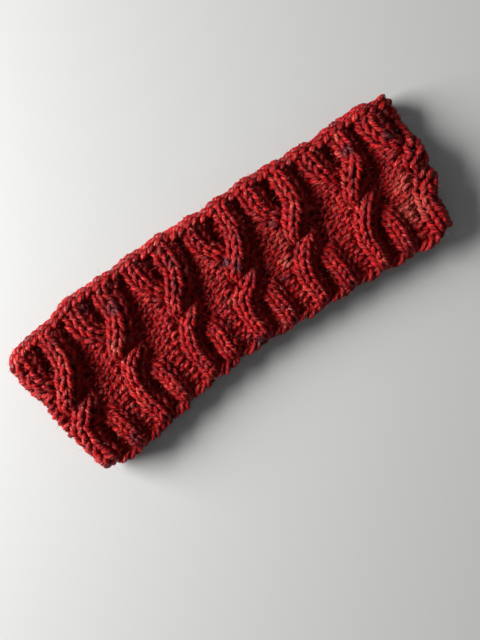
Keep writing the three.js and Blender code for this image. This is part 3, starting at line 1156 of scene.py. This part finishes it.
# %% Hairs, drawn about a sixth of a millimetre wide, and the finish
HAIRS_IN_RADIUS = 9.0
hairs = add_node(wool, "ShaderNodeTexNoise", {
    "Vector": fibre_place,
    "Scale": HAIRS_IN_RADIUS,
    "Detail": 2.0,
    "Roughness": 0.6,
}).outputs["Fac"]
relief = add_node(wool, "ShaderNodeMath", {0: groove, 1: hairs}, operation="ADD").outputs[0]
bump = add_node(wool, "ShaderNodeBump", {"Height": relief, "Strength": 1.0, "Distance": 0.0006})
finish = add_node(wool, "ShaderNodeBsdfPrincipled", {
    "Base Color": colour,
    "Normal": bump.outputs["Normal"],
    "Roughness": 0.33,
    "Specular IOR Level": 0.2,
})
add_node(wool, "ShaderNodeOutputMaterial", {"Surface": finish.outputs["BSDF"]})
print("hairs, mm wide:", round(YARN_RADIUS / HAIRS_IN_RADIUS, 2))

# %% [markdown]
# ## The finish of stray fibres
#
# A single fibre of dyed wool lets light through, so it looks paler than the yarn that it comes
# from. It could be made half transparent, but that is slow to render and hard to export, so it
# only gets paler reds. It reads the dye at its root's place on the yarn and so matches it.

# %% Stray fibres
stray = new_material("stray_ends_of_wool")
_, _, stray_colour = dye_of(stray, ((0.35, "#701014"), (0.5, "#B02C26"), (0.66, "#E8A090")))
stray_finish = add_node(stray, "ShaderNodeBsdfPrincipled", {
    "Base Color": stray_colour,
    "Roughness": 0.6,
    "Specular IOR Level": 0.3,
})
add_node(stray, "ShaderNodeOutputMaterial", {"Surface": stray_finish.outputs["BSDF"]})

for piece in yarn_pieces:
    piece.data.materials.append(wool)
for piece in fibre_pieces:
    piece.data.materials.append(stray)
print("nodes in the wool:", len(wool.node_tree.nodes))

# %% [markdown]
# ## Table and light
#
# A plain pale table, one large soft window and a little light from the room all round. The
# window is on the left of the picture, and low, so each cable shades the ground to its right
# and the band's lower edge throws a soft shadow. Light from above would flatten the cables.

# %% Table
TABLE_SIZE = 6.0  # m
TABLE_TOP = -0.0001  # m, a hair below the band
bpy.ops.object.select_all(action="DESELECT")
bpy.ops.mesh.primitive_plane_add(size=TABLE_SIZE, location=(0, 0, TABLE_TOP))
table = bpy.context.object
table.name = "table"
paint = new_material("matt_table_paint")
table_finish = add_node(
    paint, "ShaderNodeBsdfPrincipled", {"Base Color": linear("#B6B6B4"), "Roughness": 0.6}
)
add_node(paint, "ShaderNodeOutputMaterial", {"Surface": table_finish.outputs["BSDF"]})
table.data.materials.append(paint)
print("table, m:", TABLE_SIZE)

# %% Window and room
WINDOW_AWAY = 1.1  # m from the band
WINDOW_HEIGHT = math.radians(26)  # above the table
WINDOW_SIDE = math.radians(143)  # anticlockwise from the band's right end, seen from above
WINDOW_LONG, WINDOW_TALL = 0.75, 0.6  # m
WINDOW_POWER = 38  # W
ROOM_LIGHT = 0.18
window_data = bpy.data.lights.new("window", "AREA")
window_data.shape = "RECTANGLE"
window_data.size, window_data.size_y = WINDOW_LONG, WINDOW_TALL
window_data.energy = WINDOW_POWER
window = bpy.data.objects.new("window", window_data)
direction = Vector((
    math.cos(WINDOW_HEIGHT) * math.cos(WINDOW_SIDE),
    math.cos(WINDOW_HEIGHT) * math.sin(WINDOW_SIDE),
    math.sin(WINDOW_HEIGHT),
))
window.location = direction * WINDOW_AWAY
window.rotation_euler = direction.to_track_quat("Z", "Y").to_euler()
bpy.context.collection.objects.link(window)

room = bpy.data.worlds.new("room")
room.use_nodes = True
room.node_tree.nodes["Background"].inputs["Color"].default_value = linear("#F2F4F8")
room.node_tree.nodes["Background"].inputs["Strength"].default_value = ROOM_LIGHT
bpy.context.scene.world = room
bpy.context.scene.view_settings.view_transform = "Standard"
print("window, m:", [round(part, 2) for part in window.location])

# %% [markdown]
# ## Ride, replace and finish
#
# All the yarn and its fibres ride on the one body of the band and stand for its measured solid.

# %% Finish
for piece in yarn_pieces + fibre_pieces:
    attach(piece, "root")
    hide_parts("knit_band")
